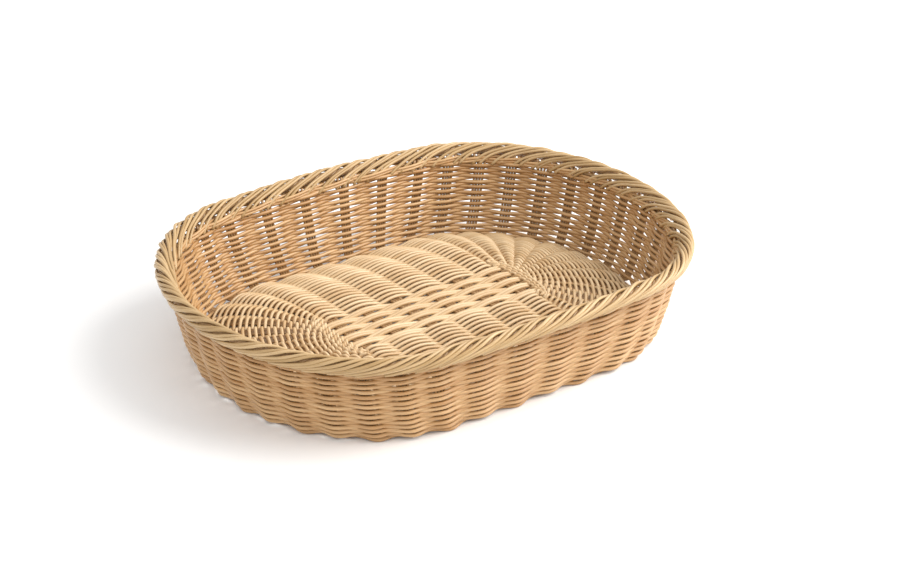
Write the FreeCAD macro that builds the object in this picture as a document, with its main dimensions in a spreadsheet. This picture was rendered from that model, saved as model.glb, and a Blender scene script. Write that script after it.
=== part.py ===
"""Wicker pet bed basket: an oval basket of round willow or rattan strands with a flared wall.

Millimetres, +Z up, +X along the length. The origin is the middle of the footprint, on the
surface that the basket stands on. The long sides face -Y (front) and +Y (back).
"""
import FreeCAD, Part
import math
import os

V = FreeCAD.Vector

doc = FreeCAD.newDocument("wicker_pet_bed_basket")

# ---------------------------------------------------------------- driving dimensions

DIMENSIONS = [
    ("strand_diameter", 3.2),
    ("strand_pitch", 3.8),
    ("layer_gap", 0.6),
    # outline of the wall's middle surface where it leaves the base, and below the border
    ("base_half_length", 258.0),
    ("base_half_width", 189.5),
    ("base_straight_half", 100.0),
    ("wall_half_length", 281.0),
    ("wall_half_width", 203.3),
    ("wall_straight_half", 126.0),
    ("wall_belly", 0.62),
    # outline of the border's centre line
    ("rim_half_length", 291.0),
    ("rim_half_width", 214.0),
    ("rim_straight_half", 125.0),
    ("rim_height", 103.5),
    # heights in the wall
    ("foot_height", 4.0),
    ("wall_bottom", 5.0),
    ("wall_top", 87.6),
    ("wale_top", 93.0),
    ("wall_skin_inner", 2.2),
    ("wall_skin_outer", 5.2),
    # woven base, crowned towards the middle
    ("base_edge_margin", 8.0),
    ("base_underside", 2.0),
    ("base_layer", 3.0),
    ("crown_rise", 24.0),
    # crossing of the base bundles
    ("core_half_length", 116.0),
    ("core_half_width", 39.0),
    ("core_shift", -9.0),
    ("cross_bundle_pitch", 42.5),
    ("long_bundle_pitch", 8.6),
    ("ray_start_bulge", 15.0),
    ("stake_bend_share", 0.2),
    # rolled border
    ("border_core_radius", 5.4),
    ("border_gap", 0.6),
    ("border_bend_share", 0.3),
    ("border_strand_diameter", 3.8),
    ("border_stroke_advance", 52.0),
]

CROSS_BUNDLES = 6
STRANDS_PER_CROSS_BUNDLE = 4
LONG_BUNDLES = 9
END_BUNDLES = 13
STRANDS_PER_LONG_BUNDLE = 2
STRANDS_PER_SIDE_BUNDLE = 4
BORDER_STROKES_PER_BUNDLE = 3

sheet = doc.addObject("Spreadsheet::Sheet", "Dimensions")
for row, (alias, value) in enumerate(DIMENSIONS, start=1):
    sheet.set("A%d" % row, alias)
    sheet.set("B%d" % row, str(value))
    sheet.setAlias("B%d" % row, alias)
doc.recompute()


def dim(alias):
    """The value of one driving dimension, read from the sheet."""
    return float(getattr(sheet, alias))


# ---------------------------------------------------------------- outlines

ARC_SHARE = 0.72  # share of a quarter outline that its elliptical end takes


def outline_sizes(height):
    """Half length, half width and straight half length of the wall's middle surface.

    The wall widens fast above the foot and stands steeper below the border, like a belly.
    """
    share = max(height - dim("wall_bottom"), 0.0) / (dim("wall_top") - dim("wall_bottom"))
    sizes = []
    for name in ("half_length", "half_width", "straight_half"):
        low = dim("base_" + name)
        high = dim("wall_" + name)
        sizes.append(low + share ** dim("wall_belly") * (high - low))
    return sizes


def rim_sizes(offset=0.0):
    """Half length, half width and straight half length of the border's centre line."""
    return (dim("rim_half_length") + offset, dim("rim_half_width") + offset, dim("rim_straight_half"))


def outline_point(height, quarter, offset=0.0):
    """A point of the wall at a height. quarter runs 0..4 round the oval from +X to +Y."""
    half_length, half_width, straight = outline_sizes(height)
    return oval_point((half_length + offset, half_width + offset, straight), height, quarter)


def rim_point(quarter):
    """A point of the border's centre line."""
    return oval_point(rim_sizes(), dim("rim_height"), quarter)


def oval_point(sizes, height, quarter):
    """A point of an oval of two straight sides and two half ellipses."""
    half_length, half_width, straight = sizes
    quadrant = int(quarter) % 4
    share = quarter - math.floor(quarter)
    if quadrant in (1, 3):
        share = 1.0 - share
    if share <= ARC_SHARE:
        angle = math.radians(90.0) * share / ARC_SHARE
        x = straight + (half_length - straight) * math.cos(angle)
        y = half_width * math.sin(angle)
    else:
        x = straight * (1.0 - share) / (1.0 - ARC_SHARE)
        y = half_width
    if quadrant in (1, 2):
        x = -x
    if quadrant in (2, 3):
        y = -y
    return V(x, y, height)


def half_ellipse(sign, half_length, half_width, straight, height):
    """The rounded end of an oval, on the +X side for sign 1 and on the -X side for sign -1."""
    centre = V(sign * straight, 0, height)
    tip = V(sign * half_length, 0, height)
    side = V(sign * straight, half_width, height)
    if half_width >= half_length - straight:
        ellipse = Part.Ellipse(side, tip, centre)
    else:
        ellipse = Part.Ellipse(tip, side, centre)
    first = ellipse.parameter(V(sign * straight, -sign * half_width, height))
    last = ellipse.parameter(V(sign * straight, sign * half_width, height))
    arc = Part.ArcOfEllipse(ellipse, first, last)
    middle = arc.value((arc.FirstParameter + arc.LastParameter) / 2)
    if middle.distanceToPoint(tip) > half_length - straight:
        arc = Part.ArcOfEllipse(ellipse, last, first)
    return arc.toShape()


def outline_wire(half_length, half_width, straight, height):
    """A closed oval: two straight sides joined by two half ellipses."""
    back = Part.makeLine(V(straight, half_width, height), V(-straight, half_width, height))
    front = Part.makeLine(V(-straight, -half_width, height), V(straight, -half_width, height))
    right = half_ellipse(1, half_length, half_width, straight, height)
    left = half_ellipse(-1, half_length, half_width, straight, height)
    return Part.Wire([right, back, left, front])


def outline_feature(name, sizes, height):
    """A document object that holds one oval."""
    feature = doc.addObject("Part::Feature", name)
    feature.Shape = outline_wire(sizes[0], sizes[1], sizes[2], height)
    return feature


def wall_section(name, height, offset):
    """The oval of the wall at a height, moved outwards by an offset."""
    half_length, half_width, straight = outline_sizes(height)
    return outline_feature(name, (half_length + offset, half_width + offset, straight), height)


def loft(name, sections):
    """A solid with straight rulings through a stack of ovals."""
    feature = doc.addObject("Part::Loft", name)
    feature.Sections = sections
    feature.Solid = True
    feature.Ruled = True
    return feature


def cut(name, base, tool):
    feature = doc.addObject("Part::Cut", name)
    feature.Base = base
    feature.Tool = tool
    return feature


nodes = []


def keep(feature, label):
    """Name a finished sub-part and list it for export."""
    feature.Label = label
    nodes.append(feature)
    return feature


def group(label, members):
    """One sub-part of several separate strands."""
    feature = doc.addObject("Part::Compound", label)
    feature.Links = members
    return keep(feature, label)


# ---------------------------------------------------------------- strands

def rounded_path(points, share):
    """Straight runs through the points, joined by tangent arcs that take a share of the runs."""
    edges = []
    start = points[0]
    for before, corner, after in zip(points, points[1:], points[2:]):
        back = before - corner
        ahead = after - corner
        reach = share * min(back.Length, ahead.Length)
        back.normalize()
        ahead.normalize()
        bisector = (back + ahead).normalize()
        half_turn = back.getAngle(bisector)
        inset = reach / math.cos(half_turn) - reach * math.tan(half_turn)
        first = corner + back * reach
        last = corner + ahead * reach
        edges.append(Part.makeLine(start, first))
        edges.append(Part.Arc(first, corner + bisector * inset, last).toShape())
        start = last
    edges.append(Part.makeLine(start, points[-1]))
    return Part.Wire(edges)


def swept_strand(name, path, diameter):
    """One round strand along a path."""
    first = path.OrderedEdges[0]
    start = first.valueAt(first.FirstParameter)
    direction = first.tangentAt(first.FirstParameter)
    section = Part.Wire([Part.makeCircle(diameter / 2, start, direction)])
    feature = doc.addObject("Part::Feature", name)
    feature.Shape = path.makePipeShell([section], True, True)
    return feature


# ---------------------------------------------------------------- wall, foot and wales

BELLY_SHARES = (0.0, 0.08, 0.25, 0.55, 1.0)  # shares of the wall's height at which its slope changes


def wall_levels():
    """Heights between which the wall is straight."""
    low = dim("wall_bottom")
    high = dim("wall_top")
    return [low + share * (high - low) for share in BELLY_SHARES]


def wall_ring(label, levels, inner_offset, outer_offset):
    """A closed band of the wall through a list of heights and between two offsets."""
    outer = loft(label + "_outside", [wall_section("%s_outside_%d" % (label, index), level, outer_offset)
                                      for index, level in enumerate(levels)])
    inner = loft(label + "_inside", [wall_section("%s_inside_%d" % (label, index), level, inner_offset)
                                     for index, level in enumerate(levels)])
    return cut(label, outer, inner)


def build_wall():
    near = dim("wall_skin_inner")
    far = dim("wall_skin_outer")
    keep(wall_ring("foot_wale", [0.0, dim("foot_height")], -far, far), "foot_wale")
    keep(wall_ring("side_weave_outer", wall_levels(), near, far), "side_weave_outer")
    keep(wall_ring("side_weave_inner", wall_levels(), -far, -near), "side_weave_inner")
    wale_levels = [dim("wall_top") + dim("layer_gap"), dim("wale_top")]
    keep(wall_ring("top_wale_outer", wale_levels, near, far), "top_wale_outer")
    keep(wall_ring("top_wale_inner", wale_levels, -far, -near), "top_wale_inner")


# ---------------------------------------------------------------- crowned base

CROWN_LEVELS = (1.0, 0.8, 0.6, 0.45, 0.3, 0.15)


def base_sizes():
    """Half length, half width and straight half length of the woven base."""
    margin = dim("base_edge_margin")
    return (dim("base_half_length") - margin, dim("base_half_width") - margin, dim("base_straight_half"))


def crown_height(x, y):
    """How far the crowned base stands above its own edge at a place."""
    half_length, half_width, straight = base_sizes()
    beyond = max(abs(x) - straight, 0.0) / (half_length - straight)
    reach = math.hypot(beyond, y / half_width)
    return dim("crown_rise") * (1.0 - reach * reach)


def crown_section(name, reach, height):
    half_length, half_width, straight = base_sizes()
    sizes = (straight + reach * (half_length - straight), reach * half_width, straight)
    return outline_feature(name, sizes, height + dim("crown_rise") * (1.0 - reach * reach))


def crown_layer(label, underside, thickness):
    """One crowned sheet of base weaving of even height."""
    top_sections = [outline_feature(label + "_rim", base_sizes(), underside)]
    low_sections = []
    for index, reach in enumerate(CROWN_LEVELS):
        top_sections.append(crown_section("%s_top_%d" % (label, index), reach, underside + thickness))
        low_sections.append(crown_section("%s_low_%d" % (label, index), reach, underside))
    return cut(label, loft(label + "_upper", top_sections), loft(label + "_lower", low_sections))


def stake_layer_height():
    """Height of the base stakes' centres above the stand, at the edge of the base."""
    return dim("base_underside") + dim("base_layer") + dim("layer_gap") + dim("strand_diameter") / 2


def build_base_weave():
    """The rounds that lie under and over the base stakes, with the crossing left open on top."""
    keep(crown_layer("base_weave_under", dim("base_underside"), dim("base_layer")), "base_weave_under")
    upper_bottom = stake_layer_height() + dim("strand_diameter") / 2 + dim("layer_gap")
    sheet_over = crown_layer("base_weave_over_sheet", upper_bottom, dim("base_layer"))
    window = doc.addObject("Part::Box", "core_window")
    window.setExpression("Length", "2 * (Dimensions.core_half_length + Dimensions.strand_diameter)")
    window.setExpression("Width", "2 * (Dimensions.core_half_width + Dimensions.strand_diameter)")
    window.setExpression("Height", "Dimensions.rim_height")
    window.setExpression("Placement.Base.x",
                         "-Dimensions.core_half_length - Dimensions.strand_diameter")
    window.setExpression("Placement.Base.y",
                         "Dimensions.core_shift - Dimensions.core_half_width - Dimensions.strand_diameter")
    keep(cut("base_weave_over", sheet_over, window), "base_weave_over")


# ---------------------------------------------------------------- base bundles

def crown_arc_radius():
    """Radius of the arc that follows the crown across the width."""
    half_width = base_sizes()[1]
    rise = dim("crown_rise")
    return (half_width * half_width + rise * rise) / (2 * rise)


def cross_x(bundle):
    """Place along the length of one cross bundle of the base."""
    return (bundle - (CROSS_BUNDLES - 1) / 2) * dim("cross_bundle_pitch")


def cross_strand(name, x):
    """One strand across the base: a slice of a large ring that follows the crown."""
    radius = crown_arc_radius()
    half_angle = math.degrees(math.asin((base_sizes()[1] - dim("base_edge_margin")) / radius))
    drop = crown_height(0, 0) - crown_height(x, 0)
    strand = doc.addObject("Part::Torus", name)
    strand.setExpression("Radius2", "Dimensions.strand_diameter / 2")
    strand.Radius1 = radius
    strand.Angle3 = 2 * half_angle
    centre_height = stake_layer_height() + dim("crown_rise") - drop - radius
    turn_upright = FreeCAD.Rotation(V(1, 1, 1), 120)
    start_low = FreeCAD.Rotation(V(1, 0, 0), 90 - half_angle)
    strand.Placement = FreeCAD.Placement(V(x, 0, centre_height), start_low.multiply(turn_upright))
    return strand


def build_cross_bundles():
    middle = (STRANDS_PER_CROSS_BUNDLE - 1) / 2
    for bundle in range(CROSS_BUNDLES):
        strands = []
        for index in range(STRANDS_PER_CROSS_BUNDLE):
            x = cross_x(bundle) + (index - middle) * dim("strand_pitch")
            strands.append(cross_strand("cross_strand_%d_%d" % (bundle + 1, index + 1), x))
        group("base_cross_bundle_%d" % (bundle + 1), strands)


def long_y(bundle):
    """Place across the width of one lengthwise bundle."""
    return dim("core_shift") + (bundle - (LONG_BUNDLES - 1) / 2) * dim("long_bundle_pitch")


def build_long_bundles():
    """Pairs of strands that lie over the cross bundles in the middle of the base."""
    middle = (STRANDS_PER_LONG_BUNDLE - 1) / 2
    over = stake_layer_height() + dim("strand_diameter") + dim("layer_gap")
    for bundle in range(LONG_BUNDLES):
        strands = []
        for index in range(STRANDS_PER_LONG_BUNDLE):
            y = long_y(bundle) + (index - middle) * dim("strand_pitch")
            strand = doc.addObject("Part::Cylinder", "long_strand_%d_%d" % (bundle + 1, index + 1))
            strand.setExpression("Radius", "Dimensions.strand_diameter / 2")
            strand.setExpression("Height", "2 * Dimensions.core_half_length")
            start = V(-dim("core_half_length"), y, over + crown_height(0, y))
            strand.Placement = FreeCAD.Placement(start, FreeCAD.Rotation(V(0, 1, 0), 90))
            strands.append(strand)
        group("core_long_bundle_%d" % (bundle + 1), strands)


# ---------------------------------------------------------------- places round the wall

def quarter_of_x(x):
    """Place round the oval, between +X and +Y, of a point of the back side at x."""
    straight = dim("base_straight_half")
    if abs(x) <= straight:
        share = 1.0 - abs(x) / straight * (1.0 - ARC_SHARE)
    else:
        cosine = (abs(x) - straight) / (dim("base_half_length") - straight)
        share = ARC_SHARE * math.degrees(math.acos(cosine)) / 90.0
    return share if x >= 0 else 2.0 - share


def end_places(first, last):
    """Places of the end bundles, evenly spaced along the base edge between two cross bundles."""
    steps = 400
    points = []
    for step in range(steps + 1):
        place = first + (last - first) * step / steps
        points.append((place, outline_point(dim("wall_bottom"), place % 4)))
    lengths = [0.0]
    for before, after in zip(points, points[1:]):
        lengths.append(lengths[-1] + before[1].distanceToPoint(after[1]))
    places = []
    for bundle in range(1, END_BUNDLES + 1):
        wanted = lengths[-1] * bundle / (END_BUNDLES + 1)
        nearest = min(range(steps + 1), key=lambda step: abs(lengths[step] - wanted))
        places.append(points[nearest][0] % 4)
    return places


def bundle_places():
    """Places round the oval of every side bundle, by the side of the basket that it is on."""
    back = [quarter_of_x(cross_x(bundle)) for bundle in range(CROSS_BUNDLES)]
    front = [(4.0 - place) % 4 for place in back]
    left = end_places(back[0], front[0])
    right = end_places(front[-1], back[-1] + 4.0)
    return {"front": front, "back": back, "left": left, "right": right}


# ---------------------------------------------------------------- end rays of the base

def ray_point(x, y):
    """A point of the stakes' layer of the crowned base."""
    return V(x, y, stake_layer_height() + crown_height(x, y))


def build_end_rays(side, places, sign):
    """Pairs of strands that fan out from one end of the crossing to the edge of the base."""
    start_x = dim("core_half_length") + 2 * dim("strand_diameter")
    ordered = sorted(places, key=lambda place: outline_point(dim("wall_bottom"), place).y)
    middle = (STRANDS_PER_LONG_BUNDLE - 1) / 2
    for bundle, place in enumerate(ordered):
        across_share = bundle / (END_BUNDLES - 1) * 2 - 1
        start_beyond = dim("ray_start_bulge") * math.sqrt(1 - across_share * across_share)
        start_across = (dim("core_half_width") + dim("ray_start_bulge")) * across_share
        start = V(sign * (start_x + start_beyond), dim("core_shift") + start_across, 0)
        edge = outline_point(dim("wall_bottom"), place, -2 * dim("base_edge_margin"))
        across = V(start.y - edge.y, edge.x - start.x, 0).normalize()
        strands = []
        for index in range(STRANDS_PER_LONG_BUNDLE):
            shift = across * ((index - middle) * dim("strand_pitch"))
            first = start + shift
            last = edge + shift
            centre = (first + last) * 0.5
            arc = Part.Arc(ray_point(first.x, first.y), ray_point(centre.x, centre.y),
                           ray_point(last.x, last.y))
            strands.append(swept_strand("ray_%s_%d_%d" % (side, bundle + 1, index + 1),
                                        Part.Wire([arc.toShape()]), dim("strand_diameter")))
        group("base_ray_%s_%d" % (side, bundle + 1), strands)


# ---------------------------------------------------------------- side stakes

def side_strand(name, place, shift):
    """One strand in the middle of the wall, from the foot to the border."""
    levels = wall_levels()
    low = outline_point(levels[0], place)
    ahead = outline_point(levels[0], (place + 0.01) % 4)
    along = V(ahead.x - low.x, ahead.y - low.y, 0).normalize() * shift
    levels[-1] = dim("wale_top")
    corners = [outline_point(level, place) + along for level in levels]
    return swept_strand(name, rounded_path(corners, dim("stake_bend_share")), dim("strand_diameter"))


def build_side_stakes(side, places):
    middle = (STRANDS_PER_SIDE_BUNDLE - 1) / 2
    strands = []
    for bundle, place in enumerate(places):
        for index in range(STRANDS_PER_SIDE_BUNDLE):
            shift = (index - middle) * dim("strand_pitch")
            strands.append(side_strand("stake_%s_%d_%d" % (side, bundle + 1, index + 1), place, shift))
    group("side_stakes_%s" % side, strands)


# ---------------------------------------------------------------- rolled border

BORDER_SIDES = 8


def border_section(name, step, inside):
    """One oval of the border core's eight-sided section; steps climb from its underside."""
    angle = math.radians(-90 + (step + 0.5) * 360 / BORDER_SIDES)
    corner = dim("border_core_radius") / math.cos(math.radians(180 / BORDER_SIDES))
    offset = corner * math.cos(angle)
    if inside:
        offset = -offset
    return outline_feature(name, rim_sizes(offset), dim("rim_height") + corner * math.sin(angle))


def build_border_core():
    outside = []
    inside = []
    for step in range(BORDER_SIDES // 2):
        outside.append(border_section("border_outside_%d" % step, step, False))
        inside.append(border_section("border_inside_%d" % step, step, True))
    keep(cut("border_core", loft("border_outer", outside), loft("border_inner", inside)), "border_core")


def border_frame(place):
    """Centre point and outward direction of the border at a place."""
    centre = rim_point(place)
    ahead = rim_point((place + 0.01) % 4)
    forward = (ahead - centre).normalize()
    return centre, forward.cross(V(0, 0, 1))


def border_stroke(name, place):
    """One border strand: up from the inside, over the top and slanting down the outside."""
    half = dim("border_strand_diameter") / 2
    radius = dim("border_core_radius") + half + dim("border_gap")
    corner = radius / math.cos(math.radians(180 / BORDER_SIDES))
    per_place = border_length_per_quarter(place)
    bends = BORDER_SIDES - 3
    points = []
    for bend in range(bends + 1):
        angle = math.radians(202.5 - bend * 360 / BORDER_SIDES)
        advance = dim("border_stroke_advance") * (0.5 - bend / bends)
        centre, outward = border_frame((place + advance / per_place) % 4)
        points.append(centre + outward * (corner * math.cos(angle)) + V(0, 0, corner * math.sin(angle)))
    return swept_strand(name, rounded_path(points, dim("border_bend_share")), 2 * half)


def border_length_per_quarter(place):
    """Length of border for one unit of place, near a place."""
    step = 0.02
    before = rim_point((place - step) % 4)
    after = rim_point((place + step) % 4)
    return before.distanceToPoint(after) / (2 * step)


def stroke_places():
    """Evenly spaced places along the border, with the side that each is on."""
    count = BORDER_STROKES_PER_BUNDLE * (2 * CROSS_BUNDLES + 2 * END_BUNDLES)
    steps = 2000
    length = [0.0]
    for step in range(steps):
        start = rim_point(4 * step / steps)
        end = rim_point((4 * (step + 1) / steps) % 4)
        length.append(length[-1] + start.distanceToPoint(end))
    places = {"front": [], "back": [], "left": [], "right": []}
    step = 0
    for stroke in range(count):
        wanted = length[-1] * (stroke + 0.5) / count
        while length[step] < wanted:
            step += 1
        place = 4 * step / steps
        point = rim_point(place)
        if abs(point.x) > dim("rim_straight_half"):
            side = "right" if point.x > 0 else "left"
        else:
            side = "back" if point.y > 0 else "front"
        places[side].append(place)
    return places


def build_border_strokes():
    for side, places in stroke_places().items():
        strokes = [border_stroke("stroke_%s_%d" % (side, index + 1), place)
                   for index, place in enumerate(places)]
        group("border_strokes_%s" % side, strokes)


# ---------------------------------------------------------------- the basket

build_wall()
build_base_weave()
build_cross_bundles()
build_long_bundles()
places = bundle_places()
build_end_rays("left", places["left"], -1)
build_end_rays("right", places["right"], 1)
for side_name, side_places in places.items():
    build_side_stakes(side_name, side_places)
build_border_core()
build_border_strokes()
doc.recompute()

for item in doc.Objects:
    if "Invalid" in item.State or "Error" in item.State:
        raise RuntimeError("%s did not compute: %s" % (item.Label, item.State))
for node in nodes:
    if node.Shape.isNull() or not node.Shape.isValid():
        raise RuntimeError("%s has no valid shape" % node.Label)

os.makedirs("parts", exist_ok=True)
for node in nodes:
    node.Shape.exportStep("parts/%s.step" % node.Label)
    print("%-24s solids %3d  volume %10.0f" % (node.Label, len(node.Shape.Solids), node.Shape.Volume))
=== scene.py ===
"""Wicker pet bed basket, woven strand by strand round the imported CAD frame.

Lengths are in millimetres inside the weaving code and in metres in Blender. Places round the
oval are counted in quarters, from 0 at +X through 1 at +Y to 4.
"""

import math

import bpy
import numpy as np
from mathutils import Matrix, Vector


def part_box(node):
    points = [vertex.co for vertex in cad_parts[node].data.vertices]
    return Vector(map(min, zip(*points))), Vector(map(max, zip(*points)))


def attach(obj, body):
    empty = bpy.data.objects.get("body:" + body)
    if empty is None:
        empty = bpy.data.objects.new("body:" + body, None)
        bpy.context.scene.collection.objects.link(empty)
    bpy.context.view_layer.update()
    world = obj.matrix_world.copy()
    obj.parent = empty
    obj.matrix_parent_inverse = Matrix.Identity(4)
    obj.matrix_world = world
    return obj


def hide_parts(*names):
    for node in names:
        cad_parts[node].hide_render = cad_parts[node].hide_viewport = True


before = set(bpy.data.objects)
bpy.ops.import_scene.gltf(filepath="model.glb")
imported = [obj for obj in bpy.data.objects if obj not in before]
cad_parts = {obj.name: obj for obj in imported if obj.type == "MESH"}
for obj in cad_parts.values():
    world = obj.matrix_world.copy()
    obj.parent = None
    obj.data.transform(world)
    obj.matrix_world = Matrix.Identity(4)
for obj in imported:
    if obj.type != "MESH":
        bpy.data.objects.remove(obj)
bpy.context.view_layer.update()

MM = 0.001
random = np.random.default_rng(7)

# ------------------------------------------------------------------ sizes from the frame

wall_low, wall_high = (np.array(v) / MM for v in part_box("side_weave_outer"))
foot_high = np.array(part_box("foot_wale")[1]) / MM
core_low, core_high = (np.array(v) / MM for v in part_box("border_core"))
under_low, under_high = (np.array(v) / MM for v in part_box("base_weave_under"))

SKIN = 5.2              # from the wall's middle surface to the outside of its CAD skin
BORDER_CORE = 5.4       # half thickness of the CAD border core
RIM_STRAIGHT = 125.0    # half length of the border's straight sides
WALL_STRAIGHT = 126.0   # the same below the border
BASE_STRAIGHT = 100.0   # the same at the foot
WALL_BELLY = 0.62       # how fast the wall widens above the foot

RIM_HEIGHT = (core_low[2] + core_high[2]) / 2
RIM_LENGTH = core_high[0] - BORDER_CORE
RIM_WIDTH = core_high[1] - BORDER_CORE
WALL_BOTTOM, WALL_TOP = wall_low[2], wall_high[2]
WALL_LENGTH = wall_high[0] - SKIN
WALL_WIDTH = wall_high[1] - SKIN
FOOT_LENGTH = foot_high[0] - SKIN
FOOT_WIDTH = foot_high[1] - SKIN

WEAVER = 4.3            # diameter of a side weaver
STAKE = 3.2             # diameter of a stake
BASE_WEAVER = 3.8       # diameter of a base weaver
BORDER_STRAND = 3.5     # diameter of a border strand

CROSS_BUNDLES = 6
CROSS_PITCH = 42.5
END_BUNDLES = 13
CORE_ROWS = 9
CORE_PITCH = 8.6
CORE_SHIFT = -9.0       # the crossing lies a little nearer to the front
CORE_HALF_LENGTH = CROSS_PITCH * CROSS_BUNDLES / 2 - 9.0
CORE_HALF_WIDTH = CORE_ROWS * CORE_PITCH / 2

CROWN_RISE = under_high[2] - under_low[2] - 3.0
BASE_LENGTH = under_high[0]
BASE_WIDTH = under_high[1]
CROWN_FLATNESS = 1.6    # above 1 the middle is flatter and the edge falls off faster
CROWN_END = 1.08        # just past the edge of the base the crown stops falling
STAKE_LEVEL = 7.0       # height of the base stakes' centres at the edge of the base

ARC_SHARE = 0.72        # share of a quarter of the oval that its elliptical end takes


# ------------------------------------------------------------------ the oval

def outline(place, height, offset=0.0):
    """Points of the wall's middle surface, moved outwards by an offset."""
    place = np.asarray(place, float) % 4
    height = np.asarray(height, float)
    rise = (height - WALL_BOTTOM) / (WALL_TOP - WALL_BOTTOM)
    share = np.where(rise > 0, np.maximum(rise, 0) ** WALL_BELLY, 2.0 * rise)
    half_length = FOOT_LENGTH + share * (WALL_LENGTH - FOOT_LENGTH) + offset
    half_width = FOOT_WIDTH + share * (WALL_WIDTH - FOOT_WIDTH) + offset
    straight = BASE_STRAIGHT + share * (WALL_STRAIGHT - BASE_STRAIGHT)
    return bowed(oval(place, half_length, half_width, straight, height), np.clip(share, 0, 1))


def rim(place, offset=0.0):
    """Points of the border's centre line, moved outwards by an offset."""
    place = np.asarray(place, float) % 4
    middle = oval(place, RIM_LENGTH + offset, RIM_WIDTH + offset, RIM_STRAIGHT, RIM_HEIGHT)
    return bowed(middle, 1.0)


RIM_BOW = 6.0           # how far the middle of a long side stands out at the top
BACK_LIFT = 2.5         # how much higher the middle of the back stands
BOW_REACH = 175.0       # the bow dies out this far from the middle


def bowed(points, share):
    """The long sides, woven by hand, belly a little outwards, and the back one upwards."""
    bow = share * np.maximum(1 - (points[..., 0] / BOW_REACH) ** 2, 0) ** 2
    points[..., 1] += RIM_BOW * bow * np.sign(points[..., 1])
    points[..., 2] += BACK_LIFT * bow * (points[..., 1] > 0)
    return points


def oval(place, half_length, half_width, straight, height):
    """Points of an oval of two straight sides and two half ellipses."""
    quadrant = np.floor(place).astype(int) % 4
    part = place - np.floor(place)
    part = np.where(quadrant % 2 == 1, 1 - part, part)
    angle = np.pi / 2 * np.minimum(part / ARC_SHARE, 1)
    on_end = part <= ARC_SHARE
    x = np.where(on_end, straight + (half_length - straight) * np.cos(angle),
                 straight * (1 - part) / (1 - ARC_SHARE))
    y = np.where(on_end, half_width * np.sin(angle), half_width)
    x = np.where((quadrant == 1) | (quadrant == 2), -x, x)
    y = np.where(quadrant >= 2, -y, y)
    return np.stack([x, y, height + 0 * x], -1)


EASE_REACH = 0.04       # in quarters of the way round


def eased(curve, place, *rest):
    """An oval with the change from straight side to rounded end eased."""
    before = curve(place - EASE_REACH, *rest)
    after = curve(place + EASE_REACH, *rest)
    return (before + 2 * curve(place, *rest) + after) / 4


def smooth_outline(place, height, offset=0.0):
    """The wall's middle surface with its ends eased into its sides."""
    return eased(outline, place, height, offset)


def crown(x, y):
    """How far the crowned base stands above its own edge."""
    beyond = np.maximum(np.abs(x) - BASE_STRAIGHT, 0) / (BASE_LENGTH - BASE_STRAIGHT)
    reach = np.minimum(beyond ** 2 + (y / BASE_WIDTH) ** 2, CROWN_END)
    return CROWN_RISE * (1 - reach ** CROWN_FLATNESS)


def place_of_side(x):
    """Place on the back side of the base that stands at x."""
    if abs(x) <= BASE_STRAIGHT:
        part = 1 - abs(x) / BASE_STRAIGHT * (1 - ARC_SHARE)
    else:
        cosine = (abs(x) - BASE_STRAIGHT) / (FOOT_LENGTH - BASE_STRAIGHT)
        part = ARC_SHARE * math.degrees(math.acos(cosine)) / 90
    return part if x >= 0 else 2 - part


def even_places(first, last, count):
    """Places evenly spaced along the base edge, without the two ends."""
    fine = np.linspace(first, last, 801)
    points = outline(fine, WALL_BOTTOM)
    length = np.concatenate([[0], np.cumsum(np.linalg.norm(np.diff(points, axis=0), axis=1))])
    return np.interp(length[-1] * np.arange(1, count + 1) / (count + 1), length, fine)


CROSS_X = (np.arange(CROSS_BUNDLES) - (CROSS_BUNDLES - 1) / 2) * CROSS_PITCH
BACK_PLACES = np.array([place_of_side(x) for x in CROSS_X])
LEFT_PLACES = even_places(BACK_PLACES[0], 4 - BACK_PLACES[0], END_BUNDLES)
RIGHT_PLACES = even_places(4 - BACK_PLACES[-1], BACK_PLACES[-1] + 4, END_BUNDLES)
PLACES = np.sort(np.concatenate([BACK_PLACES, 4 - BACK_PLACES, LEFT_PLACES, RIGHT_PLACES % 4]))
BUNDLES = len(PLACES)


def place_at(count):
    """Place at a running number of bundles; whole numbers lie on the bundles."""
    known = np.concatenate([PLACES - 4, PLACES, PLACES + 4])
    return np.interp(count, np.arange(-BUNDLES, 2 * BUNDLES), known)


# ------------------------------------------------------------------ strands as meshes

def tube_rings(path, radius, closed, sides):
    """Rings of points round a path, turned as little as possible along it."""
    ahead = np.roll(path, -1, axis=0) - np.roll(path, 1, axis=0)
    if not closed:
        ahead[0] = path[1] - path[0]
        ahead[-1] = path[-1] - path[-2]
    ahead /= np.linalg.norm(ahead, axis=1, keepdims=True)
    up = np.array([0.0, 0.0, 1.0])
    side = np.cross(ahead, up)
    weak = np.linalg.norm(side, axis=1) < 0.2
    side[weak] = np.cross(ahead[weak], np.array([1.0, 0.0, 0.0]))
    for index in range(1, len(side)):
        if np.dot(side[index], side[index - 1]) < 0:
            side[index] = -side[index]
    side /= np.linalg.norm(side, axis=1, keepdims=True)
    over = np.cross(side, ahead)
    angle = 2 * np.pi * np.arange(sides) / sides
    ring = (np.cos(angle)[None, :, None] * side[:, None, :]
            + np.sin(angle)[None, :, None] * over[:, None, :])
    return path[:, None, :] + radius[:, None, None] * ring


FIBRE_SPREAD = 4000     # strands draw their grain from anywhere along this length


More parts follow.
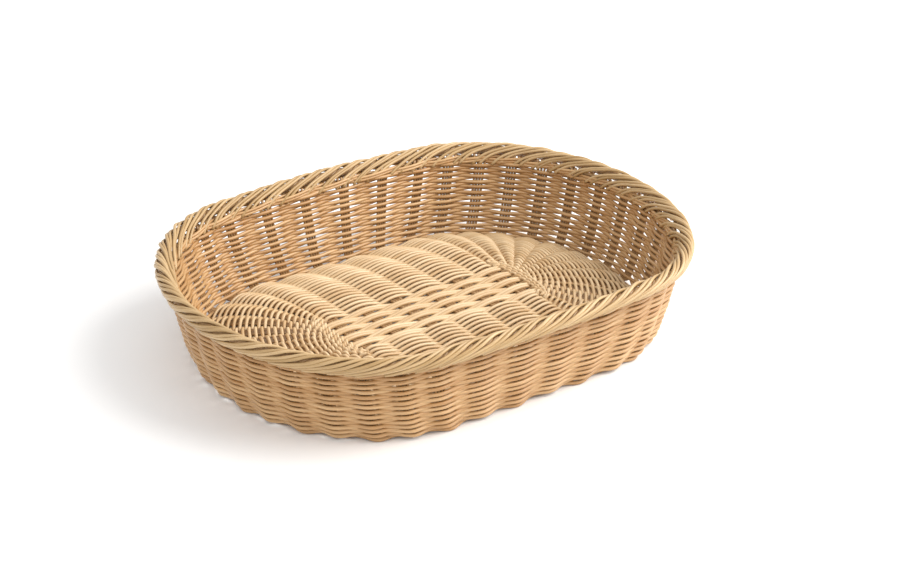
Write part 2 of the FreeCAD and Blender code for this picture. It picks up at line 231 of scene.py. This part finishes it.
class Weave:
    """Collects strands and turns them into one mesh with a strand tint and fibre coordinates."""

    def __init__(self, sides=8):
        self.sides = sides
        self.points = []
        self.faces = []
        self.fibre = []
        self.tint = []
        self.count = 0

    def add(self, path, diameter, closed=False):
        """One round strand along a path, a little uneven in thickness."""
        path = np.asarray(path, float)
        count = len(path)
        sides = self.sides
        length = np.concatenate([[0], np.cumsum(np.linalg.norm(np.diff(path, axis=0), axis=1))])
        wave = random.uniform(0, 2 * np.pi)
        uneven = 0.035 * np.sin(length / 37.0 + wave) + 0.02 * np.sin(length / 11.0 + 2 * wave)
        radius = diameter / 2 * (1 + uneven)
        rings = tube_rings(path, radius, closed, sides)
        self.points.append(rings.reshape(-1, 3))
        spans = count if closed else count - 1
        row = np.arange(spans)[:, None]
        column = np.arange(sides)[None, :]
        next_row = (row + 1) % count
        next_column = (column + 1) % sides
        quads = np.stack([row * sides + column, row * sides + next_column,
                          next_row * sides + next_column, next_row * sides + column], -1).reshape(-1, 4)
        self.faces.extend((quads[:, ::-1] + self.count).tolist())
        offset = random.uniform(0, FIBRE_SPREAD)
        start = np.broadcast_to(length[:spans, None], (spans, sides)).ravel()
        closing = np.linalg.norm(path[0] - path[-1])
        ends = np.concatenate([length[1:], [length[-1] + closing]])[:spans]
        end = np.broadcast_to(ends[:, None], (spans, sides)).ravel()
        turn = np.broadcast_to(column.astype(float), (spans, sides)).ravel() / sides
        corners = np.stack([np.stack([end, turn], -1), np.stack([end, turn + 1 / sides], -1),
                            np.stack([start, turn + 1 / sides], -1), np.stack([start, turn], -1)], 1)
        around = corners[..., 1] * 2 * np.pi
        fibre = np.stack([corners[..., 0] + offset, diameter / 2 * np.cos(around) + offset,
                          diameter / 2 * np.sin(around)], -1)
        self.fibre.append(fibre.reshape(-1, 3))
        value = random.uniform(0, 1)
        self.tint.append(np.full(len(quads) * 4, value))
        if not closed:
            for first, reverse in ((0, False), ((count - 1) * sides, True)):
                cap = [self.count + first + index for index in range(sides)]
                self.faces.append(cap[::-1] if reverse else cap)
                self.fibre.append(np.full((sides, 3), offset))
                self.tint.append(np.full(sides, value))
        self.count += count * sides

    def build(self, name, material, slot, replaces=()):
        """One named piece of all the strands collected so far."""
        mesh = bpy.data.meshes.new(name)
        mesh.from_pydata((np.concatenate(self.points) * MM).tolist(), [], self.faces)
        mesh.attributes.new("fibre", "FLOAT_VECTOR", "CORNER").data.foreach_set(
            "vector", np.concatenate(self.fibre).astype(np.float32).ravel())
        mesh.attributes.new("tint", "FLOAT", "CORNER").data.foreach_set(
            "value", np.concatenate(self.tint).astype(np.float32).ravel())
        mesh.polygons.foreach_set("use_smooth", [True] * len(mesh.polygons))
        mesh.materials.append(material)
        mesh.update()
        piece = bpy.data.objects.new(name, mesh)
        bpy.context.scene.collection.objects.link(piece)
        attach(piece, "root")
        if replaces:
            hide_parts(*replaces)
        return piece


# ------------------------------------------------------------------ materials

def wicker_material(name, pale, deep, rough=0.42):
    """Varnished cane: streaks along each strand, a tint for each strand and darker specks."""
    material = bpy.data.materials.new(name)
    material.use_nodes = True
    tree = material.node_tree
    tree.nodes.clear()
    nodes, links = tree.nodes, tree.links
    output = nodes.new("ShaderNodeOutputMaterial")
    shader = nodes.new("ShaderNodeBsdfPrincipled")
    links.new(shader.outputs[0], output.inputs[0])
    fibre = nodes.new("ShaderNodeAttribute")
    fibre.attribute_name = "fibre"
    tint = nodes.new("ShaderNodeAttribute")
    tint.attribute_name = "tint"

    def noise(scale, detail):
        mapping = nodes.new("ShaderNodeVectorMath")
        mapping.operation = "MULTIPLY"
        mapping.inputs[1].default_value = scale
        links.new(fibre.outputs["Vector"], mapping.inputs[0])
        texture = nodes.new("ShaderNodeTexNoise")
        texture.inputs["Scale"].default_value = 1.0
        texture.inputs["Detail"].default_value = detail
        links.new(mapping.outputs[0], texture.inputs["Vector"])
        return texture.outputs["Fac"]

    streaks = noise((0.035, 1.6, 1.6), 3.0)
    blotches = noise((0.02, 0.08, 0.08), 2.0)
    specks = noise((0.25, 0.9, 0.9), 2.0)

    def math_node(operation, first, second):
        node = nodes.new("ShaderNodeMath")
        node.operation = operation
        for socket, value in zip(node.inputs, (first, second)):
            if isinstance(value, (int, float)):
                socket.default_value = value
            else:
                links.new(value, socket)
        return node.outputs[0]

    def mix(factor, first, second):
        node = nodes.new("ShaderNodeMix")
        node.data_type = "RGBA"
        inputs = ((node.inputs["Factor"], factor), (node.inputs["A"], first), (node.inputs["B"], second))
        for socket, value in inputs:
            if isinstance(value, (int, float)):
                socket.default_value = value
            elif isinstance(value, tuple):
                socket.default_value = (*value, 1.0)
            else:
                links.new(value, socket)
        return node.outputs["Result"]

    share = math_node("ADD", math_node("MULTIPLY", streaks, 0.55),
                      math_node("MULTIPLY", blotches, 0.45))
    share = math_node("ADD", math_node("MULTIPLY", share, 1.6), -0.45)
    share = math_node("ADD", share, math_node("MULTIPLY", tint.outputs["Fac"], 0.42))
    colour = mix(math_node("MINIMUM", math_node("MAXIMUM", share, 0.0), 1.0), pale, deep)
    dark = math_node("MULTIPLY", math_node("GREATER_THAN", specks, 0.66), 0.22)
    colour = mix(dark, colour, tuple(0.55 * channel for channel in deep))
    links.new(colour, shader.inputs["Base Color"])
    roughness = math_node("ADD", math_node("MULTIPLY", streaks, 0.22), rough - 0.1)
    links.new(roughness, shader.inputs["Roughness"])
    shader.inputs["Specular IOR Level"].default_value = 0.5
    shader.inputs["Coat Weight"].default_value = 0.2
    shader.inputs["Coat Roughness"].default_value = 0.26
    bump = nodes.new("ShaderNodeBump")
    bump.inputs["Strength"].default_value = 0.35
    bump.inputs["Distance"].default_value = 0.0004
    links.new(streaks, bump.inputs["Height"])
    links.new(bump.outputs[0], shader.inputs["Normal"])
    return material


wall_cane = wicker_material("wall_cane", (0.65, 0.43, 0.215), (0.38, 0.185, 0.055))
# Base cane: the cane's own colour, made paler than the wall cane as painted sheen on the base's upward
# faces.
base_cane_painted_sheen = wicker_material("base_cane_painted_sheen", (0.72, 0.55, 0.34), (0.48, 0.29, 0.12))
# Stake cane: darker than the weavers as painted shade, for the stakes and filling that show only in the
# shaded gaps.
stake_cane_painted_shade = wicker_material("stake_cane_painted_shade", (0.45, 0.28, 0.13), (0.25, 0.12, 0.04))
border_cane = wicker_material("border_cane", (0.67, 0.48, 0.26), (0.33, 0.19, 0.06))


# ------------------------------------------------------------------ side weaving

SIDE_ROWS = 28
SIDE_BOTTOM = 3.3
SIDE_TOP = 91.0
SIDE_BANDS = (
    ("lower", 0, 9, ("side_weave_outer", "foot_wale")),
    ("middle", 9, 19, ("side_weave_inner",)),
    ("upper", 19, SIDE_ROWS, ()),
)
BULGE_OUT, BULGE_DOWN = 2.1, 0.7    # how far the lowest rows stand out and sink at a bundle
BULGE_REACH = 14.0      # height over which that dies out
WEAVE_SWING = STAKE / 2 + WEAVER / 2 - 0.3
SWING_PEAK = 0.45       # share of the swing that is gathered close to the stakes


def swing(count, phase):
    """How far a weaver stands outside (1) or inside (-1) of the stakes."""
    wave = np.cos(np.pi * (count + phase))
    return wave * (1 - SWING_PEAK + SWING_PEAK * wave ** 2)


def bottom_bulge(count, height):
    """The turn-up of each bundle pushes the lowest rows outwards and down between the valleys."""
    return np.exp(-np.maximum(height, 0) / BULGE_REACH) * np.cos(2 * np.pi * count)


def waver(count, rate):
    """A slow wave round the basket that starts at a random phase."""
    return np.sin(count * rate + random.uniform(0, 6.3))


def build_side_weave():
    samples = 14 * BUNDLES
    count = np.arange(samples) / samples * BUNDLES
    place = place_at(count)
    for band, first, last, replaced in SIDE_BANDS:
        weave = Weave(sides=8)
        for row in range(first, last):
            height = SIDE_BOTTOM + row / (SIDE_ROWS - 1) * (SIDE_TOP - SIDE_BOTTOM)
            drift = 0.35 * waver(count, 0.9) + 0.25 * waver(count, 2.3)
            bulge = bottom_bulge(count, height)
            level = height + drift * min(1, row / 4) - BULGE_DOWN * bulge
            offset = WEAVE_SWING * swing(count, row) + BULGE_OUT * bulge
            offset = offset + 0.25 * waver(count, 1.7)
            weave.add(smooth_outline(place, level, offset), WEAVER, closed=True)
        weave.build("side_weave_" + band, wall_cane, "wall_wicker", replaced)


# ------------------------------------------------------------------ stakes

STAKES_PER_BUNDLE = 4
STAKE_PITCH = 3.3
STAKE_TOP = 101.0
STAKE_TURNED = 9.0      # height at which a stake has turned up into the wall


def wall_run(place, shift):
    """The part of a stake that climbs the wall, from the base edge to the border."""
    height = np.linspace(STAKE_TURNED, STAKE_TOP, 26)
    spread = 1 + 0.55 * np.clip((height - 80) / 16, 0, 1) ** 2
    centre = smooth_outline(place + 0 * height, height)
    ahead = smooth_outline(place + 0.01 + 0 * height, height) - centre
    ahead /= np.linalg.norm(ahead, axis=1, keepdims=True)
    return centre + ahead * (shift * spread)[:, None]


def turn_up(edge, run):
    """A soft bend from the base edge up into the wall."""
    corner = run[0] * [1, 1, 0] + [0, 0, edge[2] - 2.0]
    steps = np.linspace(0, 1, 9)[1:-1, None]
    return (1 - steps) ** 2 * edge + 2 * steps * (1 - steps) * corner + steps ** 2 * run[0]


def bundle_shifts():
    return (np.arange(STAKES_PER_BUNDLE) - (STAKES_PER_BUNDLE - 1) / 2) * STAKE_PITCH


CROSS_REACH = BASE_WIDTH - 6.0
CROSS_SPLAY = 0.05      # the bundles spread apart a little towards the edge


def build_cross_bundles():
    for bundle, x in enumerate(CROSS_X):
        weave = Weave(sides=8)
        back = place_of_side(x)
        for shift in bundle_shifts():
            back_run = wall_run(back, -shift)
            front_run = wall_run(4 - back, shift)
            y = np.linspace(-CROSS_REACH, CROSS_REACH, 60)
            x_strand = (x + shift) * (1 + CROSS_SPLAY * (y / CROSS_REACH) ** 2)
            z = STAKE_LEVEL + crown(x_strand, y) + core_dip(y, bundle)
            across = np.stack([x_strand, y, z], -1)
            path = np.concatenate([front_run[::-1], turn_up(across[0], front_run)[::-1], across,
                                   turn_up(across[-1], back_run), back_run])
            weave.add(path, STAKE)
        weave.build("cross_bundle_%d" % (bundle + 1), stake_cane_painted_shade, "stake_wicker",
                    ("base_cross_bundle_%d" % (bundle + 1),))


CORE_DIP = 1.5          # rise and fall of the cross bundles at the lengthwise rows
CORE_FADE = 2.5         # length over which it fades out at the edge of the crossing


def core_dip(y, bundle):
    """Cross bundles pass over and under the lengthwise rows in turn."""
    row = (y - CORE_SHIFT) / CORE_PITCH + (CORE_ROWS - 1) / 2
    inside = 1 / (1 + np.exp((np.abs(y - CORE_SHIFT) - CORE_HALF_WIDTH) / CORE_FADE))
    return CORE_DIP * np.cos(np.pi * (row + bundle)) * inside


FAN_TUCK = 4            # how far the fan's middle starts inside the end of the crossing
FAN_DEPTH = 12          # how far the middle of the fan's start stands past its corners
FAN_CORNER = 2          # how far its corners stay inside the side of the crossing
FAN_EDGE = 10.0         # from the wall's middle surface inwards to where its stakes turn up


def end_bundles(side, places, sign):
    """Stakes that fan out from the end of the crossing and climb the end wall."""
    order = np.argsort(outline(places, WALL_BOTTOM)[:, 1])
    for number, place in enumerate(places[order]):
        weave = Weave(sides=8)
        across_share = number / (END_BUNDLES - 1) * 2 - 1
        start = np.array([sign * (CORE_HALF_LENGTH - FAN_TUCK
                                  + FAN_DEPTH * math.sqrt(1 - across_share ** 2)),
                          CORE_SHIFT + (CORE_HALF_WIDTH - FAN_CORNER) * across_share])
        edge = outline(place, WALL_BOTTOM, -FAN_EDGE)[:2]
        across = np.array([start[1] - edge[1], edge[0] - start[0]])
        across /= np.linalg.norm(across)
        for shift in bundle_shifts():
            run = wall_run(place, -shift)
            steps = np.linspace(0, 1, 24)[:, None]
            narrow = 0.45 + 0.55 * np.minimum(steps * 2, 1)
            plan = start * (1 - steps) + edge * steps - across * shift * narrow
            level = STAKE_LEVEL + crown(plan[:, 0], plan[:, 1])
            floor = np.concatenate([plan, level[:, None]], 1)
            path = np.concatenate([floor, turn_up(floor[-1], run), run])
            weave.add(path, STAKE)
        weave.build("end_bundle_%s_%d" % (side, number + 1), stake_cane_painted_shade, "stake_wicker",
                    ("base_ray_%s_%d" % (side, number + 1),))


# ------------------------------------------------------------------ base weaving

BASE_ROUNDS = 37
ROUNDS_PER_PIECE = 10
BASE_SWING = STAKE / 2 + BASE_WEAVER / 2 + 0.6
ROUND_DEPTH = 14        # how far the first round stands past the end of the crossing
ROUND_EDGE = 5.5        # from the wall's middle surface inwards to the end of the rounds


def build_base_weave():
    """The rounds of the base, in pieces of ten rounds."""
    count = np.arange(12 * BUNDLES) / 12
    anchors = bundle_anchors()
    for piece, first in enumerate(range(0, BASE_ROUNDS, ROUNDS_PER_PIECE)):
        weave = Weave(sides=8)
        for number in range(first, min(first + ROUNDS_PER_PIECE, BASE_ROUNDS)):
            plan = plan_round(anchors, (number + 0.6) / BASE_ROUNDS, count)
            level = STAKE_LEVEL + np.maximum(crown(plan[:, 0], plan[:, 1]), 0)
            level = level + BASE_SWING * np.cos(np.pi * (count + number))
            weave.add(np.concatenate([plan, level[:, None]], 1), BASE_WEAVER, closed=True)
        replaced = ("base_weave_over", "base_weave_under") if piece == 0 else ()
        weave.build("base_rounds_%d" % (piece + 1), base_cane_painted_sheen, "base_wicker", replaced)


def bundle_anchors():
    """For each bundle, in order round the oval, its plan points at the crossing and at the edge."""
    inner = []
    outer = []
    for place in PLACES:
        edge = outline(place, WALL_BOTTOM, -ROUND_EDGE)[:2]
        outer.append(edge)
        near = np.abs(np.concatenate([BACK_PLACES, 4 - BACK_PLACES]) - place)
        if near.min() < 1e-6:
            x = CROSS_X[int(near.argmin()) % CROSS_BUNDLES]
            inner.append([x, CORE_SHIFT + math.copysign(CORE_HALF_WIDTH, edge[1])])
        else:
            side = RIGHT_PLACES if edge[0] > 0 else LEFT_PLACES
            order = np.sort(outline(side, WALL_BOTTOM)[:, 1])
            number = int(np.abs(order - edge[1]).argmin())
            across_share = number / (END_BUNDLES - 1) * 2 - 1
            reach = CORE_HALF_LENGTH + ROUND_DEPTH * math.sqrt(1 - across_share ** 2)
            inner.append([math.copysign(reach, edge[0]),
                          CORE_SHIFT + (CORE_HALF_WIDTH - FAN_CORNER) * across_share])
    return np.array(inner), np.array(outer)


def plan_round(anchors, share, count):
    """A smooth closed line that crosses every bundle at the same share of its length."""
    inner, outer = anchors
    points = inner * (1 - share) + outer * share
    return closed_spline(points, count)


def closed_spline(points, count):
    """Catmull-Rom through points that stand at whole counts."""
    total = len(points)
    base = np.floor(count).astype(int)
    part = (count - base)[:, None]
    before, first, second, after = (points[(base + step) % total] for step in (-1, 0, 1, 2))
    return 0.5 * (2 * first + (second - before) * part
                  + (2 * before - 5 * first + 4 * second - after) * part ** 2
                  + (3 * first - before - 3 * second + after) * part ** 3)


CORE_STRAND = 4.7       # diameter
CORE_STRAND_PITCH = 4.6 # between the two strands of a row
CORE_SWING = 2.9        # how far they rise and sink at the cross bundles
CORE_TAIL = 12.0        # how far the rows run on past the crossing


def build_core_rows():
    """Double strands lengthwise over and under the cross bundles."""
    for row in range(CORE_ROWS):
        weave = Weave(sides=8)
        y_middle = CORE_SHIFT + (row - (CORE_ROWS - 1) / 2) * CORE_PITCH
        for shift in (-0.5, 0.5):
            x = np.linspace(-CORE_HALF_LENGTH - CORE_TAIL, CORE_HALF_LENGTH + CORE_TAIL, 150)
            y = np.full_like(x, y_middle + shift * CORE_STRAND_PITCH)
            number = x / CROSS_PITCH + (CROSS_BUNDLES - 1) / 2
            z = STAKE_LEVEL + crown(x, y) + CORE_SWING * np.cos(np.pi * (number + row + 1))
            weave.add(np.stack([x, y, z], -1), CORE_STRAND)
        weave.build("core_row_%d" % (row + 1), base_cane_painted_sheen, "base_wicker",
                    ("core_long_bundle_%d" % (row + 1),))


TIE_ROUNDS = 3
TIE_STRAND = 3.4        # diameter
TIE_TWIST = 17.0        # length of one turn
TIE_ANGLE = 1.75        # how far each round reaches to either side, in radians


def build_ties():
    """Rough twisted rounds that close each end of the crossing before the weaving starts."""
    for side, sign in (("left", -1), ("right", 1)):
        weave = Weave(sides=8)
        for number in range(TIE_ROUNDS):
            turn = np.linspace(-TIE_ANGLE, TIE_ANGLE, 170)
            reach = 5.0 + 4.6 * number
            x = sign * (CORE_HALF_LENGTH - 4 + reach * np.cos(turn) + 3.0)
            half_width = CORE_HALF_WIDTH - 3 + 1.2 * reach
            y = CORE_SHIFT + half_width * np.sin(turn / TIE_ANGLE * np.pi / 2)
            along = np.concatenate([[0], np.cumsum(np.hypot(np.diff(x), np.diff(y)))])
            start = random.uniform(0, 2 * np.pi)
            for strand in range(2):
                twist = along / TIE_TWIST * 2 * np.pi + strand * np.pi + start
                twist = twist + 0.6 * np.sin(along / 23.0)
                z = STAKE_LEVEL + crown(x, y) + 2.2 + 2.2 * np.sin(twist)
                path = np.stack([x + sign * 1.5 * np.cos(twist), y + 0.6 * np.cos(twist), z], -1)
                weave.add(path, TIE_STRAND)
        weave.build("core_ties_" + side, base_cane_painted_sheen, "base_wicker")


# ------------------------------------------------------------------ border

BORDER_STROKES = 128
PAIR_SHIFT = 0.0045         # the two strands of a pair close up by this, in quarters
STROKE_ADVANCE = 125.0      # length along the border from a stroke's foot outside to its tip inside
BORDER_WAVE = 0.7           # the strokes rise on top and at their ends and sink between
STROKE_FIRST, STROKE_LAST = -80.0, 226.0    # its angles round the border's section, 90 on top


def border_section(angle):
    """Distance from the border's centre line at an angle: round, with a tail down the inside."""
    foot = 3.2 * np.exp(-(angle - STROKE_FIRST) / 20.0)
    tail = 13.0 * np.exp(-(STROKE_LAST - angle) / 24.0)
    return 6.6 + foot + tail


def border_path(place, offset, lift):
    """One stroke: up the outside, over the top and down the inside, always towards +place."""
    steps = np.linspace(0, 1, 44)
    eased_steps = steps - 0.22 / (2 * np.pi) * np.sin(2 * np.pi * steps)
    angle = STROKE_FIRST + (STROKE_LAST - STROKE_FIRST) * eased_steps
    along = place + (steps - 0.42) * STROKE_ADVANCE / length_per_place(place)
    tuck = 1.8 * np.exp(-steps / 0.1) + 2.0 * np.exp(-(1 - steps) / 0.06)
    wave = BORDER_WAVE * np.cos(2 * np.pi * (steps - 0.5) * 2)
    distance = border_section(angle) + offset - tuck + wave
    middle = eased(rim, along)
    outward = outward_direction(along)
    path = middle + outward * (distance * np.cos(np.radians(angle)))[:, None]
    path[:, 2] += distance * np.sin(np.radians(angle)) + lift
    return path


def length_per_place(place):
    """Length of the border for one quarter of the way round, near a place."""
    step = 0.02
    return float(np.linalg.norm(eased(rim, place + step) - eased(rim, place - step))) / (2 * step)


def outward_direction(place):
    ahead = eased(rim, place + 0.01) - eased(rim, place - 0.01)
    ahead /= np.linalg.norm(ahead, axis=1, keepdims=True)
    return np.cross(ahead, [0, 0, 1.0])


def even_rim_places(count):
    fine = np.linspace(0, 4, 1601)
    points = eased(rim, fine)
    length = np.concatenate([[0], np.cumsum(np.linalg.norm(np.diff(points, axis=0), axis=1))])
    return np.interp((np.arange(count) + 0.5) / count * length[-1], length, fine)


def build_border():
    """Strands in pairs, each pair leaning on the one beside."""
    sides = {side: Weave(sides=10) for side in ("front", "back", "left", "right")}
    for number, place in enumerate(even_rim_places(BORDER_STROKES)):
        second = number % 2
        place = place + (-PAIR_SHIFT if second else PAIR_SHIFT) + random.normal(0, 0.0016)
        offset = (0.5 if second else 0.0) + random.normal(0, 0.25)
        centre = rim(place)
        if abs(centre[0]) > RIM_STRAIGHT:
            side = "right" if centre[0] > 0 else "left"
        else:
            side = "back" if centre[1] > 0 else "front"
        path = border_path(place, offset, random.normal(0, 0.3))
        sides[side].add(path, BORDER_STRAND * random.uniform(0.94, 1.06))
    for side, weave in sides.items():
        weave.build("border_" + side, border_cane, "border_wicker", ("border_strokes_" + side,))


FILLING_STRANDS, FILLING_TURNS = 5, 60
FILLING_STRAND = 4.0        # diameter
FILLING_RADIUS = 3.0


def build_border_filling():
    """The bent ends that the border is rolled round, seen only in the gaps."""
    weave = Weave(sides=8)
    place = np.linspace(0, 4, 400, endpoint=False)
    for strand in range(FILLING_STRANDS):
        angle = 2 * np.pi * (strand / FILLING_STRANDS + place / 4 * FILLING_TURNS)
        path = eased(rim, place) + outward_direction(place) * (FILLING_RADIUS * np.cos(angle))[:, None]
        path[:, 2] += FILLING_RADIUS * np.sin(angle)
        weave.add(path, FILLING_STRAND, closed=True)
    # The filling takes the darker stake cane, painted shade for the gaps it shows in.
    weave.build("border_filling", stake_cane_painted_shade, "stake_wicker", ("border_core",))


WALE_LEVELS = (93.4, 96.6)
WALE_STRAND = 3.5           # diameter
WALE_RISE, WALE_SWING = 1.3, 3.4    # how far a twisted strand moves up and outwards


def build_wales():
    """Twisted pairs of rows just under the border."""
    count = np.arange(16 * BUNDLES) / 16
    place = place_at(count)
    weave = Weave(sides=8)
    for level in WALE_LEVELS:
        for strand in range(2):
            phase = np.pi * (count + strand) + level
            height = level + WALE_RISE * np.sin(phase)
            weave.add(smooth_outline(place, height, WALE_SWING * np.cos(phase)), WALE_STRAND, closed=True)
    weave.build("top_wale", wall_cane, "wall_wicker",
                ("top_wale_outer", "top_wale_inner", "side_stakes_front", "side_stakes_back",
                 "side_stakes_left", "side_stakes_right"))


build_side_weave()
build_cross_bundles()
end_bundles("left", LEFT_PLACES, -1)
end_bundles("right", RIGHT_PLACES, 1)
build_base_weave()
build_core_rows()
build_ties()
build_border()
build_border_filling()
build_wales()


# ------------------------------------------------------------------ floor, light and camera

def pale_material(name, colour, rough):
    material = bpy.data.materials.new(name)
    material.use_nodes = True
    shader = material.node_tree.nodes["Principled BSDF"]
    shader.inputs["Base Color"].default_value = (*colour, 1.0)
    shader.inputs["Roughness"].default_value = rough
    return material


def build_floor():
    mesh = bpy.data.meshes.new("studio_floor")
    size = 12.0
    corners = [(-size, -size, 0), (size, -size, 0), (size, size, 0), (-size, size, 0)]
    mesh.from_pydata(corners, [], [(0, 1, 2, 3)])
    mesh.materials.append(pale_material("studio_white", (0.9, 0.9, 0.9), 0.8))
    floor = bpy.data.objects.new("studio_floor", mesh)
    bpy.context.scene.collection.objects.link(floor)


def build_world():
    world = bpy.data.worlds.new("studio")
    bpy.context.scene.world = world
    world.use_nodes = True
    background = world.node_tree.nodes["Background"]
    background.inputs["Color"].default_value = (1.0, 1.0, 1.0, 1.0)
    background.inputs["Strength"].default_value = 0.85


def area_light(name, place, size, power, colour=(1.0, 1.0, 1.0)):
    """A round soft light that points at the middle of the basket."""
    data = bpy.data.lights.new(name, "AREA")
    data.shape = "DISK"
    data.size = size
    data.energy = power
    data.color = colour
    lamp = bpy.data.objects.new(name, data)
    lamp.location = place
    lamp.rotation_euler = (-Vector(place)).to_track_quat("-Z", "Y").to_euler()
    bpy.context.scene.collection.objects.link(lamp)


VIEW_AZIMUTH = -35.1
VIEW_ELEVATION = 26.7
VIEW_DISTANCE = 2.229
FOCAL_LENGTH = 80.9
TARGET = Vector((0.0, 0.0, 0.0578))
SHIFT_RIGHT = 0.02556   # how far the frame's middle stands past the target, in frame widths
SHIFT_UP = 0.00222


def build_camera():
    azimuth = math.radians(VIEW_AZIMUTH)
    elevation = math.radians(VIEW_ELEVATION)
    back = Vector((math.sin(azimuth) * math.cos(elevation), -math.cos(azimuth) * math.cos(elevation),
                   math.sin(elevation)))
    data = bpy.data.cameras.new("view")
    data.sensor_width = 36.0
    data.lens = FOCAL_LENGTH
    data.shift_x = SHIFT_RIGHT
    data.shift_y = SHIFT_UP
    camera = bpy.data.objects.new("view", data)
    camera.location = TARGET + back * VIEW_DISTANCE
    camera.rotation_euler = back.to_track_quat("Z", "Y").to_euler()
    bpy.context.scene.collection.objects.link(camera)
    bpy.context.scene.camera = camera


build_floor()
build_world()
area_light("key", (2.2, -1.5, 2.2), 3.4, 165, (1.0, 0.98, 0.95))
area_light("fill", (-2.0, -1.2, 2.4), 2.2, 20)
build_camera()
bpy.context.scene.view_settings.view_transform = "Standard"
